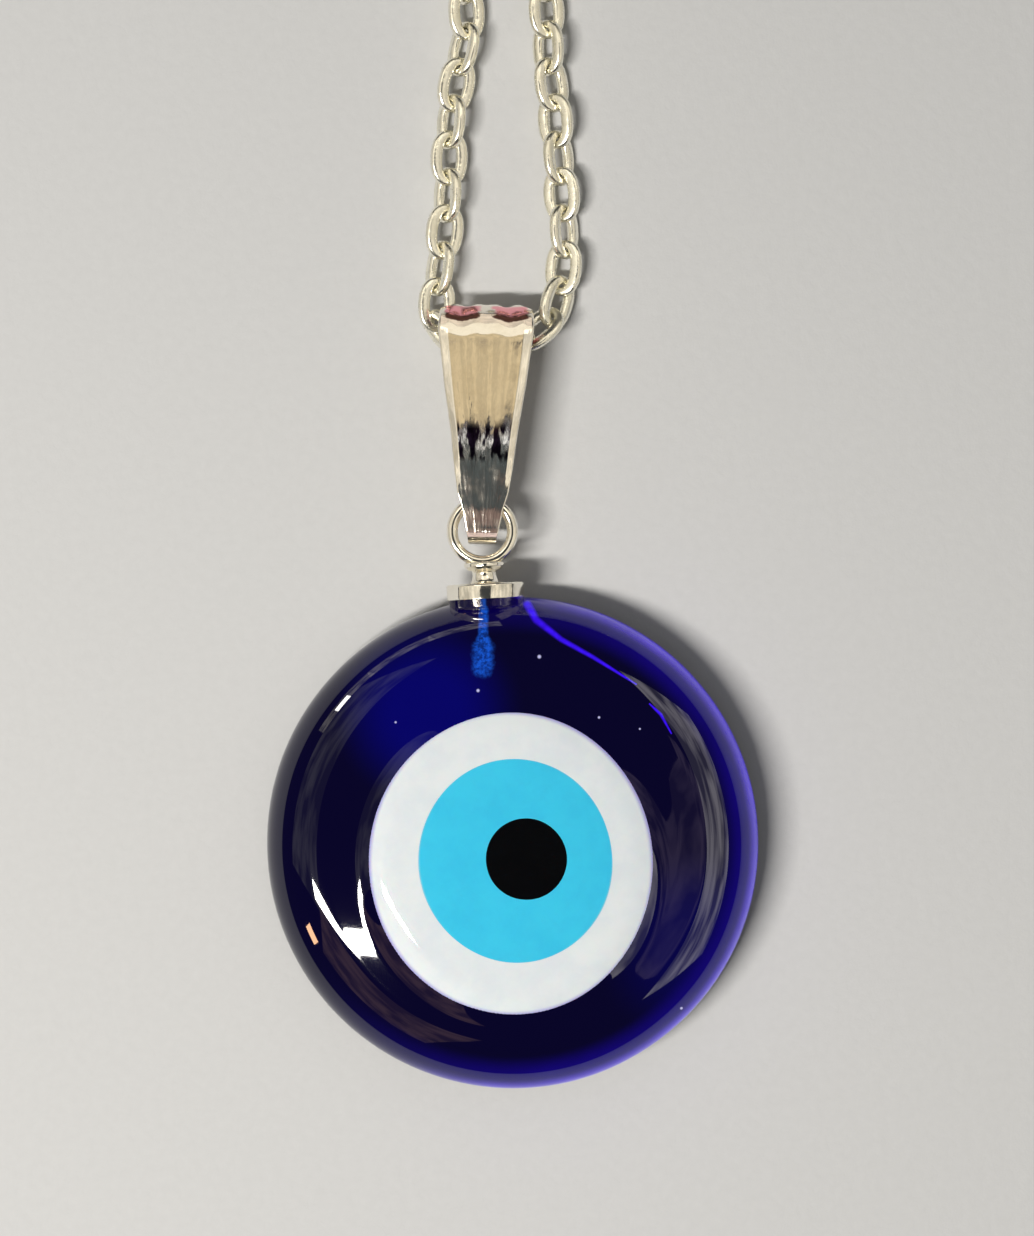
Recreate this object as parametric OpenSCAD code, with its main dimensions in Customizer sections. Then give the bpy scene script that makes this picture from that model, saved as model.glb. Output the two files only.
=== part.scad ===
// Evil eye pendant on a cable chain necklace, lying face up on a surface.
// Millimetres, +Z up. The origin is the middle of the disc's flat back.
// +Y runs from the middle of the disc to the peg bail in its rim.

/* [Glass disc] */
// Diameter of the glass disc at its widest
disc_d = 30; // [24:0.5:45]
// Thickness at the middle
disc_t = 7; // [6:0.1:9]
// Radius of the rounded front shoulder
front_round = 4; // [3:0.1:4.6]
// Height of the straight band round the rim
rim_band = 0.2; // [0.1:0.05:0.6]
// How far the middle of the front stands above its shoulder
crown = 0.6; // [0.3:0.05:1]

/* [Eye] */
// Width of the white layer
white_w = 17.1; // [14:0.1:19]
// Height of the white layer
white_h = 18.3; // [14:0.1:19.5]
// Place of the white layer across the disc
white_x = -0.2; // [-1:0.05:1]
// Place of the white layer along the disc
white_y = -1; // [-1.5:0.05:1]
// Depth of the white glass under the middle of the front
white_depth = 1.7; // [1.5:0.1:2.5]
// Width of the light blue layer
iris_w = 11.7; // [9:0.1:13]
// Height of the light blue layer
iris_h = 12.4; // [9:0.1:14]
// Place of the light blue layer across the disc
iris_x = 0.1; // [-1:0.05:1]
// Place of the light blue layer along the disc
iris_y = -0.85; // [-1.5:0.05:1]
// Depth of the light blue glass under the middle of the front
iris_depth = 1.15; // [0.9:0.05:1.3]
// Diameter of the black pupil
pupil_d = 5; // [3:0.1:7]
// Place of the pupil across the disc
pupil_x = 0.75; // [-1:0.05:1]
// Place of the pupil along the disc
pupil_y = -0.8; // [-1.5:0.05:1]
// Depth of the black glass under the middle of the front
pupil_depth = 0.6; // [0.4:0.05:0.75]
// How far each layer stands above the one round it
layer_step = 0.05; // [0.02:0.01:0.15]
// Gap between one layer of glass and the next
layer_gap = 0.02; // [0.01:0.01:0.05]

/* [Peg bail] */
// Height of the peg's axis above the disc's back
peg_z = 3.3; // [2.8:0.1:4]
// Lean of the peg bail from the disc's radius, in degrees
peg_lean = 3.2; // [-6:0.1:6]
// Diameter of the peg glued into the rim
peg_d = 0.7; // [0.5:0.05:1.2]
// Length of the peg inside the glass
peg_len = 3.7; // [2:0.1:5]
// Gap round the peg and at its end, filled with glue
glue_gap = 0.12; // [0.05:0.01:0.3]
// Diameter of the round cap on the rim
cap_d = 4.7; // [3.5:0.1:5.4]
// Height of the cap's top face above the rim
cap_h = 0.88; // [0.6:0.02:1.5]
// How far the cap's flat underside reaches in past the rim
cap_seat = 0.08; // [0.04:0.01:0.2]
// Gap between the cap and the glass
cap_gap = 0.03; // [0.01:0.01:0.1]
// Diameter of the neck where it stands on the cap
neck_d = 1.75; // [1.3:0.05:2.5]
// Diameter of the neck's waist
waist_d = 1.45; // [1:0.05:2]
// Diameter of the collar that holds the ring
collar_d = 2.4; // [1.8:0.05:3]
// Height of the collar
collar_h = 0.5; // [0.3:0.05:0.8]
// Outer diameter of the ring
ring_d = 4.34; // [3.8:0.02:5.5]
// Wire diameter of the ring
ring_wire = 0.68; // [0.4:0.02:0.8]
// Distance from the rim of the disc to the middle of the ring
ring_reach = 4.07; // [3.8:0.01:5]

/* [Pinch bail] */
// Length of the folded bail, end to end
bail_len = 14.6; // [12:0.1:18]
// Width of the bail at its widest
bail_w = 5.84; // [4.5:0.02:7]
// Thickness of the sheet metal
bail_sheet = 0.4; // [0.3:0.02:0.5]
// Outer radius of the roll that the chain runs through
roll_r = 2.1; // [2:0.05:2.8]
// Outer radius of the fold inside the ring
fold_r = 0.85; // [0.8:0.01:1]
// How far each leaf bows out at its middle
leaf_bow = 0.2; // [0:0.05:0.5]
// Share of its width that the sheet loses on its hidden back
back_cut = 0.38; // [0.2:0.02:0.4]
// Height of the flutes in the sheet
flute_h = 0.14; // [0:0.01:0.2]
// Drop of the bent edges of the leaves
bevel_h = 0.22; // [0:0.02:0.3]
// Turn of the bail from the disc's axis, in degrees
bail_turn = 7.3; // [0:0.1:12]
// Slack left between the fold and the ring's wire
bail_slack = 1.9; // [0.5:0.05:2]
// Gap between the bail and what it rests on
rest_gap = 0.04; // [0.02:0.01:0.1]

/* [Chain] */
// Distance from one link to the next
link_pitch = 2.26; // [2.2:0.01:2.3]
// Outer width of a link
link_w = 2.4; // [2.3:0.01:2.45]
// Wire diameter of a link
link_wire = 0.52; // [0.45:0.01:0.54]
// Clearance between neighbouring links
link_gap = 0.18; // [0.16:0.01:0.2]
// Roll of the links from the chain's flat side, in degrees
link_roll = 36; // [34:1:40]

/* [Clasp] */
// Outer diameter of the plain ring clasp
clasp_d = 6; // [5:0.1:8]
// Wire diameter of the clasp
clasp_wire = 0.8; // [0.7:0.05:1]
// Outer diameter of the small eye on the clasp
eye_d = 3; // [2.8:0.05:3.6]
// Wire diameter of the small eye
eye_wire = 0.52; // [0.45:0.01:0.6]

/* [Hidden] */
$fn = 48;

// Points that the chain runs through, from beside the clasp down through the
// bail and back to the clasp's other side. Columns: x, y, least height of the
// chain's middle where something lifts it, and twist in degrees.
chain_points = [
  [20, 194, 0, 16], [5, 191.5, 0, 8], [-14, 183.5, 0, 8], [-29, 169, 0, 8],
  [-37.5, 149.5, 0, 8], [-40.1, 129, 0, 8], [-35.5, 109.4, 0, 8], [-26.5, 93.5, 0, 8],
  [-15.5, 79, 0, 8], [-5.6, 66, 0, 8], [0.7, 57.4, 0, 10], [2.6, 53.2, 0, 12],
  [2.7, 50.3, 0, 10], [1.3, 45.7, 0, 12], [0.5, 41.1, 0, 15], [0, 37.9, 0, 15],
  [-0.8, 34.9, 0, 15], [-1.1, 32.8, 0.9, 16], [-1.3, 31.3, 1.2, 11],
  [-0.5, 30.8, 1.5, 6], [0.6, 30.6, 1.9, 9], [2, 30.2, 2.1, -2], [4.1, 30.4, 1.9, 2],
  [5.5, 30.9, 1.7, -1], [5.8, 31.5, 1.6, -3], [6.4, 32.7, 1.1, 8], [7, 34.7, 0.7, 13],
  [7.4, 43.5, 0, 6], [7.5, 49.1, 0, -9], [7.8, 52.4, 0, -11], [12.2, 59.1, 0, -8],
  [20, 66.5, 0, -8], [31, 72.5, 0, -8], [45, 79, 0, -8], [59, 88, 0, -8],
  [70.5, 100, 0, -8], [77.9, 116, 0, -8], [79.9, 134, 0, -8], [76.9, 151.9, 0, -8],
  [69, 169.5, 0, -8], [56, 183, 0, -8], [43, 190, 0, -16]
];
// Place, turn and height of the clasp at the far end of the loop, the twist of
// the chain beside it, and the gap left under the lowest links.
clasp_at = [31.5, 193.8];
clasp_turn = -8;
clasp_z = 1.3;
clasp_twist = 30;
surface_gap = 0.05;

disc_r = disc_d/2;
crown_r = (pow(disc_r - front_round, 2) + pow(crown, 2))/(2*crown);
crown_z = disc_t - crown_r;
shoulder_x = disc_r - front_round;
shoulder_z = crown_z + sqrt(pow(crown_r - front_round, 2) - pow(shoulder_x, 2));
back_round = shoulder_z - rim_band;

// Where the crown's curve meets the shoulder's, out from the axis.
function touch_x(g) = shoulder_x*(crown_r + g)/(crown_r - front_round);

// Rounded section of the disc from its axis outward, grown by g all round. The
// front shoulder's circle counts only above the band round the rim.
module disc_section(g=0) {
  intersection() {
    translate([0, crown_z]) circle(r=crown_r + g, $fn=1440);
    union() {
      translate([0, -g]) square([touch_x(g), disc_t + 2*g]);
      intersection() {
        translate([shoulder_x, shoulder_z]) circle(r=front_round + g);
        translate([0, shoulder_z]) square([disc_r + g, front_round + g]);
      }
      translate([disc_r - back_round, back_round]) circle(r=back_round + g);
      translate([0, back_round]) square([disc_r + g, rim_band]);
      translate([0, -g]) square([disc_r - back_round, back_round + 2*g]);
    }
  }
}

crown_x = touch_x(0);

function oval(w, h, n=64) = [for (i = [0:n-1]) [w/2*cos(360*i/n), h/2*sin(360*i/n)]];

// A straight-sided block of oval section, from depth below the front upward.
module oval_block(w, h, x, y, depth, g=0) {
  translate([x, y, disc_t - depth - g])
    linear_extrude(depth + crown + g) polygon(oval(w + 2*g, h + 2*g));
}

module front_dome(lift) {
  rotate_extrude($fn=120) intersection() {
    translate([0, crown_z]) circle(r=crown_r + lift, $fn=1440);
    square([crown_x, disc_t + lift]);
  }
}

module white_block(g=0) { oval_block(white_w, white_h, white_x, white_y, white_depth, g); }
module iris_block(g=0) { oval_block(iris_w, iris_h, iris_x, iris_y, iris_depth, g); }

module pupil_block(g=0) {
  translate([pupil_x, pupil_y, disc_t - pupil_depth - g])
    cylinder(d=pupil_d + 2*g, h=pupil_depth + crown + g);
}

// Local +Z points out of the rim along the peg, from the disc's widest line.
module at_peg() {
  translate([0, disc_r, peg_z]) rotate([0, 0, -peg_lean]) rotate([-90, 0, 0]) children();
}

module glass_disc() {
  color("#0a0a55") difference() {
    rotate_extrude($fn=180) disc_section();
    white_block(layer_gap);
    at_peg() translate([0, 0, -peg_len - glue_gap])
      cylinder(d=peg_d + 2*glue_gap, h=peg_len + front_round);
  }
}

module eye_white() {
  color("#e4e8ec") difference() {
    intersection() {
      white_block();
      front_dome(layer_step);
    }
    iris_block(layer_gap);
  }
}

module eye_iris() {
  color("#3cc3ea") difference() {
    intersection() {
      iris_block();
      front_dome(2*layer_step);
    }
    pupil_block(layer_gap);
  }
}

module eye_pupil() {
  color("#050507") intersection() {
    pupil_block();
    front_dome(3*layer_step);
  }
}

// Easing of the cap's rim, and how deep the collar takes the ring's wire.
cap_edge = 0.15;
ring_sink = ring_wire/4;
ring_mid_r = (ring_d - ring_wire)/2;
collar_top = ring_reach - ring_mid_r + ring_sink;

module ring(d, wire) {
  rotate_extrude() translate([(d - wire)/2, 0]) circle(d=wire);
}

// Cap, neck and collar in one turned section, with the cap's rim eased.
module turned_section() {
  square([cap_d/2 - cap_edge, cap_h]);
  translate([0, -cap_seat]) square([cap_d/2, cap_seat + cap_h - cap_edge]);
  translate([cap_d/2 - cap_edge, cap_h - cap_edge]) circle(r=cap_edge);
  polygon([[0, cap_h/2], [neck_d/2, cap_h/2], [neck_d/2, cap_h],
           [waist_d/2, collar_top - collar_h], [0, collar_top - collar_h]]);
  translate([0, collar_top - collar_h]) square([collar_d/2, collar_h]);
}

module peg_bail() {
  color("#cfcabd") union() {
    difference() {
      at_peg() rotate_extrude() turned_section();
      rotate_extrude($fn=180) disc_section(cap_gap);
    }
    at_peg() translate([0, 0, -peg_len]) cylinder(d=peg_d, h=peg_len + cap_h/2);
    at_peg() translate([0, 0, ring_reach]) rotate([90, 0, 0]) ring(ring_d, ring_wire);
  }
}

// The pinch bail is one strip of sheet, closed into a long loop. Its local +Y
// runs up the bail from the middle of the fold and +Z comes out of the front.
roll_mid = roll_r - bail_sheet/2;
fold_mid = fold_r - bail_sheet/2;
loop_span = bail_len - roll_r - fold_r;
loop_angle = asin((roll_mid - fold_mid)/loop_span);

// Width of the strip. Columns: share of the bail's length, share of bail_w.
strip_width = [[0, 0.29], [0.02, 0.31], [0.13, 0.42], [0.2, 0.53], [0.29, 0.6],
               [0.47, 0.71], [0.655, 0.85], [0.9, 1], [0.97, 0.98], [1, 0.93]];

fold_steps = 7;
leaf_steps = 12;
roll_steps = 14;
across = 16;

// The hidden back is narrower. The strip loses its width round the roll, within
// this turn of its outermost line, and has it back between these shares of the leaf.
cut_turn = 30;
cut_from = 0.1;
cut_to = 0.6;

function bow(t) = leaf_bow*(1 - cos(360*t))/2;

// Share from 0 at the first limit to 1 at the second.
function rise(f, from, to) = min(1, max(0, (f - from)/(to - from)));

// Stations round the loop, each as [y, z, outward y, outward z, share of the cut].
function fold_station(a) =
  [-fold_mid*cos(a), fold_mid*sin(a), -cos(a), sin(a), 0];
function roll_station(a) =
  [loop_span + roll_mid*cos(a), roll_mid*sin(a), cos(a), sin(a), rise(-a, -cut_turn, cut_turn)];
function leaf_station(t, side) =
  let (n = [-sin(loop_angle), cos(loop_angle)], m = fold_mid + (roll_mid - fold_mid)*t + bow(t))
  [loop_span*t + n[0]*m, side*n[1]*m, n[0], side*n[1], side < 0 ? rise(t, cut_from, cut_to) : 0];

fold_half = 90 - loop_angle;
roll_half = 90 + loop_angle;
stations = concat(
  [for (i = [0:fold_steps-1]) fold_station(-fold_half + 2*fold_half*i/fold_steps)],
  [for (i = [0:leaf_steps-1]) leaf_station(i/leaf_steps, 1)],
  [for (i = [0:roll_steps-1]) roll_station(roll_half - 2*roll_half*i/roll_steps)],
  [for (i = [0:leaf_steps-1]) leaf_station(1 - i/leaf_steps, -1)]);

// Two flutes run the length of the strip and fade out towards the fold, and the
// bent edges ease towards the roll. All are shares of the bail's length or width.
flute_from = 0.1;
flute_to = 0.5;
bevel_from = 0.2;
bevel_to = 0.4;
bevel_ease = 0.6;
edge_from = 0.8;

function share_up(s) = min(1, max(0, (s[0] + fold_mid)/(bail_len - bail_sheet)));
function flute(u) = (2*cos(720*u) - 3*cos(360*u))/5;
function bevel(u) = max(0, (abs(u) - edge_from)/(1 - edge_from));
function relief(u, f) =
  flute_h*flute(u)*rise(f, flute_from, flute_to)*(1 - bevel(u))
  - bevel_h*bevel(u)*rise(f, bevel_from, bevel_to)*(1 - bevel_ease*pow(f, 3));

// Point of the strip at station s, at u from -1 to 1 across, off its middle by h.
function strip_point(s, u, h) =
  let (f = share_up(s), w = bail_w*lookup(f, strip_width)*(1 - back_cut*s[4]), d = h + relief(u, f))
  [u*w/2, s[0] + s[2]*d, s[1] + s[3]*d];

front_points = [for (i = [0:across]) [2*i/across - 1, bail_sheet/2]];
back_points = [for (i = [across:-1:0]) [2*i/across - 1, -bail_sheet/2]];
section = concat(front_points, back_points);

module strip_loop() {
  m = len(section);
  n = len(stations);
  polyhedron(
    points = [for (s = stations) for (p = section) strip_point(s, p[0], p[1])],
    faces = [for (i = [0:n-1]) for (j = [0:m-1])
      let (a = i*m, b = ((i + 1) % n)*m, k = (j + 1) % m)
      each [[a + j, a + k, b + k], [a + j, b + k, b + j]]],
    convexity = 6);
}

// The ring's wire carries the front leaf, and the roll lies on the surface.
ring_y = disc_r + ring_reach*cos(peg_lean);
ring_x = ring_reach*sin(peg_lean);
fold_y = ring_mid_r - ring_wire/2 - bail_slack + fold_mid - bail_sheet/2;
wire_y = ring_mid_r - fold_y;
leaf_inner = (fold_mid + (roll_mid - fold_mid)*wire_y/loop_span)/cos(loop_angle) - bail_sheet/2;
roll_z = roll_r + flute_h + rest_gap;
wire_top = peg_z + ring_wire/2 + rest_gap;
fold_z = (wire_top - leaf_inner - roll_z*wire_y/loop_span)/(1 - wire_y/loop_span);
bail_tilt = asin((fold_z - roll_z)/loop_span);

module at_bail() {
  translate([ring_x, ring_y, fold_z]) rotate([0, 0, -bail_turn])
    translate([0, fold_y, 0]) rotate([-bail_tilt, 0, 0]) children();
}

module pinch_bail() {
  color("#cfcabd") at_bail() strip_loop();
}

// The chain's middle line is a smooth closed curve through chain_points, with
// slopes at each point weighted by the lengths of the stretches beside it.
link_half = (link_pitch + link_gap + link_wire)/2;
link_side = (link_w - link_wire)/2;

// The clasp is a plain ring with a small fixed eye, and an end link hooks each.
clasp_mid_r = (clasp_d - clasp_wire)/2;
eye_mid_r = (eye_d - eye_wire)/2;
function hook(wire) = (wire + link_wire)/2 + link_gap - (link_half - link_pitch/2);
function clasp_end(side) =
  let (x = clasp_mid_r + eye_mid_r - hook(side < 0 ? clasp_wire : eye_wire))
  [clasp_at[0] + side*x*cos(clasp_turn), clasp_at[1] + side*x*sin(clasp_turn),
   clasp_z, -side*clasp_twist];

// Height of the chain's middle where its links lie on the surface.
function lie_z(twist) =
  link_wire/2 + link_side*sin(link_roll + abs(twist)) + surface_gap;
knots = [for (p = concat([clasp_end(-1)], chain_points, [clasp_end(1)]))
  [p[0], p[1], max(p[2], lie_z(p[3])), p[3]]];
knot_count = len(knots);
function knot(i) = knots[(i + knot_count) % knot_count];
function span(i) = norm(knot(i + 1) - knot(i));
function slope(i) =
  let (a = span(i - 1), b = span(i))
  ((knot(i) - knot(i - 1))*b/a + (knot(i + 1) - knot(i))*a/b)/(a + b);
slopes = [for (i = [0:knot_count-1]) slope(i)];

function curve_point(i, t) =
  let (d = span(i), u = 1 - t)
  (1 + 2*t)*u*u*knots[i] + t*u*u*d*slopes[i]
  + t*t*(3 - 2*t)*knots[i+1] - t*t*u*d*slopes[i+1];

curve_step = 0.6;
curve = concat(
  [for (i = [0:knot_count-2]) let (n = ceil(span(i)/curve_step)) for (k = [0:n-1]) curve_point(i, k/n)],
  [knots[knot_count-1]]);

function place(p) = [p[0], p[1], p[2]];
function lengths_along(c) =
  [for (i = 0, s = 0; i < len(c); s = s + (i + 1 < len(c) ? norm(place(c[i+1]) - place(c[i])) : 0), i = i + 1) s];
run = lengths_along(curve);
run_total = run[len(run)-1];

link_count = 2*round(run_total/link_pitch/2);
tables = [for (k = [0:3]) [for (i = [0:len(curve)-1]) [run[i], curve[i][k]]]];
function along(s) = [for (k = [0:3]) lookup(s, tables[k])];
joints = [for (i = [0:link_count]) along(run_total*i/link_count)];

// A link of round wire: two half rings joined by two short straight sides.
link_straight = 2*(link_half - link_side);

module link() {
  for (turn = [0, 180]) rotate(turn) translate([link_straight/2, 0, 0]) rotate(-90)
    rotate_extrude(angle=180, $fn=24) translate([link_side, 0]) circle(d=link_wire, $fn=16);
  for (side = [-1, 1]) translate([-link_straight/2, side*link_side, 0]) rotate([0, 90, 0])
    cylinder(d=link_wire, h=link_straight, $fn=16);
}

// Link i lies from joint i to the next, rolled one way or the other in turn.
module links(first, last) {
  for (i = [first:last]) {
    a = joints[i];
    b = joints[i+1];
    d = b - a;
    roll = (i % 2 == 0 ? link_roll : -link_roll) + (a[3] + b[3])/2;
    translate(place(a + b)/2)
      rotate([roll, -asin(d[2]/norm(place(d))), atan2(d[1], d[0])])
        link();
  }
}

mid_link = round(link_count/2);

module chain_left() {
  color("#d8d2bd") links(0, mid_link - 1);
}

module chain_right() {
  color("#d8d2bd") links(mid_link, link_count - 1);
}

module clasp() {
  color("#cfcabd") translate([clasp_at[0], clasp_at[1], clasp_z])
    rotate([0, 0, clasp_turn]) {
      translate([-eye_mid_r, 0, 0]) ring(clasp_d, clasp_wire);
      translate([clasp_mid_r, 0, 0]) ring(eye_d, eye_wire);
    }
}

glass_disc();
eye_white();
eye_iris();
eye_pupil();
peg_bail();
pinch_bail();
chain_left();
chain_right();
clasp();
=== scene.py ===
# %% [markdown]
# # A glass eye pendant on a cable chain
#
# The CAD model says how large each piece is and where it lies. This script adds
# what the eye sees: glass that looks deep, bright plated metal, a floor and
# soft light. Everything is in metres, and most sizes below are written in
# millimetres and multiplied by MM where a mesh is made.

import math

import bmesh
import bpy
import numpy as np
from mathutils import Matrix, Vector, noise


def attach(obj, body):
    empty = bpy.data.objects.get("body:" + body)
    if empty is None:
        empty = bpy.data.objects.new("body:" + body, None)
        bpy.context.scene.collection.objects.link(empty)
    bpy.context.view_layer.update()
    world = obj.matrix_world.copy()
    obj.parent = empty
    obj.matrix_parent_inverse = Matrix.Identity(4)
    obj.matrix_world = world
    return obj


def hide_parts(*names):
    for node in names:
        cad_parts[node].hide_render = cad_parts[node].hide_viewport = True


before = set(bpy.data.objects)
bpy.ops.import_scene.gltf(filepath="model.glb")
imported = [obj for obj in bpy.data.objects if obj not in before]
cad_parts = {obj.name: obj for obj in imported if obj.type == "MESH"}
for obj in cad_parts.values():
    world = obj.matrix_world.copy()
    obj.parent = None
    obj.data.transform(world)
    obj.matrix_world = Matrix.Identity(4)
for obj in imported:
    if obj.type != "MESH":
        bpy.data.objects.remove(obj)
bpy.context.view_layer.update()
MM = 0.001


print("nodes:", ", ".join(sorted(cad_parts)))

# %% [markdown]
# ## The camera
#
# The pendant lies face up and is seen from straight above. The camera could be
# fitted by hand, but three measures settle it: how far it is, what it looks at,
# and how much it is turned about its own line of sight. The lens then follows
# from the distance and from how much of the scene the picture's height shows.

# %% Place the camera
LOOK_AT = Vector((1.75, 13.58, 2.4)) * MM
CAMERA_RISE = 220 * MM
FRAME_HEIGHT = 75.4 * MM
CAMERA_ROLL = math.radians(6.2)
SENSOR_HEIGHT = 24
NEAREST = 10 * MM

view_right = Vector((math.cos(CAMERA_ROLL), -math.sin(CAMERA_ROLL), 0))
view_up = Vector((math.sin(CAMERA_ROLL), math.cos(CAMERA_ROLL), 0))


def pose_matrix(right, up, back, place):
    """A matrix from three unit directions and a place."""
    return Matrix([[right[i], up[i], back[i], place[i]] for i in range(3)] + [[0, 0, 0, 1]])


camera_data = bpy.data.cameras.new("camera")
camera_data.sensor_fit = "VERTICAL"
camera_data.sensor_height = SENSOR_HEIGHT
camera_data.lens = SENSOR_HEIGHT * CAMERA_RISE / FRAME_HEIGHT
camera_data.clip_start = NEAREST
camera = bpy.data.objects.new("camera", camera_data)
bpy.context.scene.collection.objects.link(camera)
camera.matrix_world = pose_matrix(view_right, view_up, Vector((0, 0, 1)),
                                  LOOK_AT + Vector((0, 0, CAMERA_RISE)))
bpy.context.scene.camera = camera
print("lens", round(camera_data.lens, 1), "mm")

# %% [markdown]
# ## Tools for finishes
#
# A finish is a net of nodes. Wiring it node by node hides the idea, so two small
# classes let it be written as arithmetic. A Signal is one socket: adding or
# multiplying signals adds Math nodes. A Shader is one material: its methods add
# the other nodes, mix colours and give the place on the piece in millimetres.

# %% Write shaders as arithmetic


class Signal:
    """One shader socket that works in plain arithmetic."""

    def __init__(self, shader, socket):
        self.shader, self.socket = shader, socket

    def math(self, operation, first, second=0.0):
        return self.shader.node("ShaderNodeMath", {"operation": operation},
                                {0: first, 1: second})

    def __add__(self, other):
        return self.math("ADD", self, other)

    __radd__ = __add__

    def __sub__(self, other):
        return self.math("SUBTRACT", self, other)

    def __rsub__(self, other):
        return self.math("SUBTRACT", other, self)

    def __mul__(self, other):
        return self.math("MULTIPLY", self, other)

    __rmul__ = __mul__

    def __truediv__(self, other):
        return self.math("DIVIDE", self, other)

    def __pow__(self, other):
        return self.math("POWER", self, other)

    def at_least(self, other):
        return self.math("MAXIMUM", self, other)

    def clamped(self):
        return self.math("MINIMUM", self.at_least(0.0), 1.0)

    def ramp(self, low, high):
        """0 below low, 1 above high, and a soft step between them."""
        return self.shader.node("ShaderNodeMapRange", {"interpolation_type": "SMOOTHSTEP"},
                                {"Value": self, "From Min": low, "From Max": high})


class Shader:
    """A material and the nodes that are added to it."""

    def __init__(self, name):
        self.material = bpy.data.materials.new(name)
        self.material.use_nodes = True
        self.tree = self.material.node_tree
        self.body = self.tree.nodes["Principled BSDF"]

    def feed(self, socket, value):
        """Links a signal to a socket, or sets the socket's own value."""
        if isinstance(value, Signal):
            self.tree.links.new(value.socket, socket)
        elif socket.type == "RGBA":
            socket.default_value = (*value, 1)
        else:
            socket.default_value = value

    def node(self, kind, settings=None, values=None, out=0):
        """Adds a node: settings first, then its sockets, and returns one output."""
        made = self.tree.nodes.new(kind)
        for name, setting in (settings or {}).items():
            setattr(made, name, setting)
        for key, value in (values or {}).items():
            self.feed(made.inputs[key], value)
        return Signal(self, made.outputs[out])

    def colour(self, share, first, second):
        """A colour mixed from first to second by a share from 0 to 1."""
        # A Mix node has sockets for each kind of value: 6, 7 and output 2 are its colours.
        return self.node("ShaderNodeMix", {"data_type": "RGBA"},
                         {0: share, 6: first, 7: second}, out=2)

    def place(self):
        """Place on the piece in millimetres, as a vector."""
        here = self.node("ShaderNodeTexCoord", out="Object")
        return self.node("ShaderNodeVectorMath", {"operation": "SCALE"},
                         {0: here, "Scale": 1 / MM})

    def split(self, vector):
        return [self.node("ShaderNodeSeparateXYZ", values={0: vector}, out=i) for i in range(3)]

    def joined(self, x, y, z=0.0):
        return self.node("ShaderNodeCombineXYZ", values={0: x, 1: y, 2: z})

    def noise(self, vector, scale, detail=2.0, roughness=0.5):
        return self.node("ShaderNodeTexNoise",
                         values={"Vector": vector, "Scale": scale, "Detail": detail,
                                 "Roughness": roughness})

    def relief(self, height, distance, strength=1.0):
        """A bump from a height signal."""
        return self.node("ShaderNodeBump", values={"Height": height, "Distance": distance,
                                                   "Strength": strength})

    def finish(self, **sockets):
        for name, value in sockets.items():
            socket = "IOR" if name == "ior" else name.replace("_", " ").title()
            self.feed(self.body.inputs[socket], value)
        return self.material


# %% [markdown]
# ## The floor
#
# The photo's surface is left out, and a plain pale floor takes its place. A
# perfectly even grey looks like an empty background, so it has a very faint
# cloud of tone and grain.

# %% Lay the floor
FLOOR_Z = -0.03 * MM
FLOOR_SIZE = 6
FLOOR_TONES = (0.60, 0.60, 0.595), (0.65, 0.65, 0.645)
GRAIN_SCALE, GRAIN_DEPTH, GRAIN_STRENGTH = 1.6, 0.1 * MM, 0.3

floor_paint = Shader("pale_floor")
floor_grain = floor_paint.noise(floor_paint.place(), GRAIN_SCALE, detail=4.0, roughness=0.6)
floor_look = floor_paint.finish(
    base_color=floor_paint.colour(floor_grain, *FLOOR_TONES),
    roughness=0.85,
    normal=floor_paint.relief(floor_grain, GRAIN_DEPTH, GRAIN_STRENGTH))

bpy.ops.mesh.primitive_plane_add(size=FLOOR_SIZE, location=(0, 0, FLOOR_Z))
floor = bpy.context.object
floor.name = "floor"
floor.data.materials.append(floor_look)
print("floor at", round(FLOOR_Z / MM, 2), "mm")

# %% [markdown]
# ## The light
#
# Polished metal and glass show what stands round them more than their own
# colour, so a jewellery photographer lights them with cards: white, cream and
# coloured sheets, each placed for one reflection. A card here is an area light,
# given by where it stands in the sky over the pendant: its turn round the view,
# the range of angles from straight up that it fills, and how wide it looks.
#
# A real card shows in every shiny thing. Blender's light linking lets one card
# shine on chosen pieces alone, so the cream cards that warm the metal put no
# veil on the dark glass, and the coloured cards of the bail leave the chain
# alone. The window lights everything, and draws the hooked highlight on the
# glass. The world stays dark, which keeps the glass deep.

# %% Make the groups that cards shine on
LIT_GROUPS = ("blue", "metal", "bail", "floor")
lit_groups = {name: bpy.data.collections.new("lit_" + name) for name in LIT_GROUPS}
lit_groups["floor"].objects.link(floor)
BAIL_AT = Vector((1.9, 27.0, 4.3)) * MM
CLOUD_SCALE, CLOUD_DETAIL = 4.0, 3.0
CLOUD_LOW, CLOUD_HIGH = 0.4, 0.6


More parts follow.
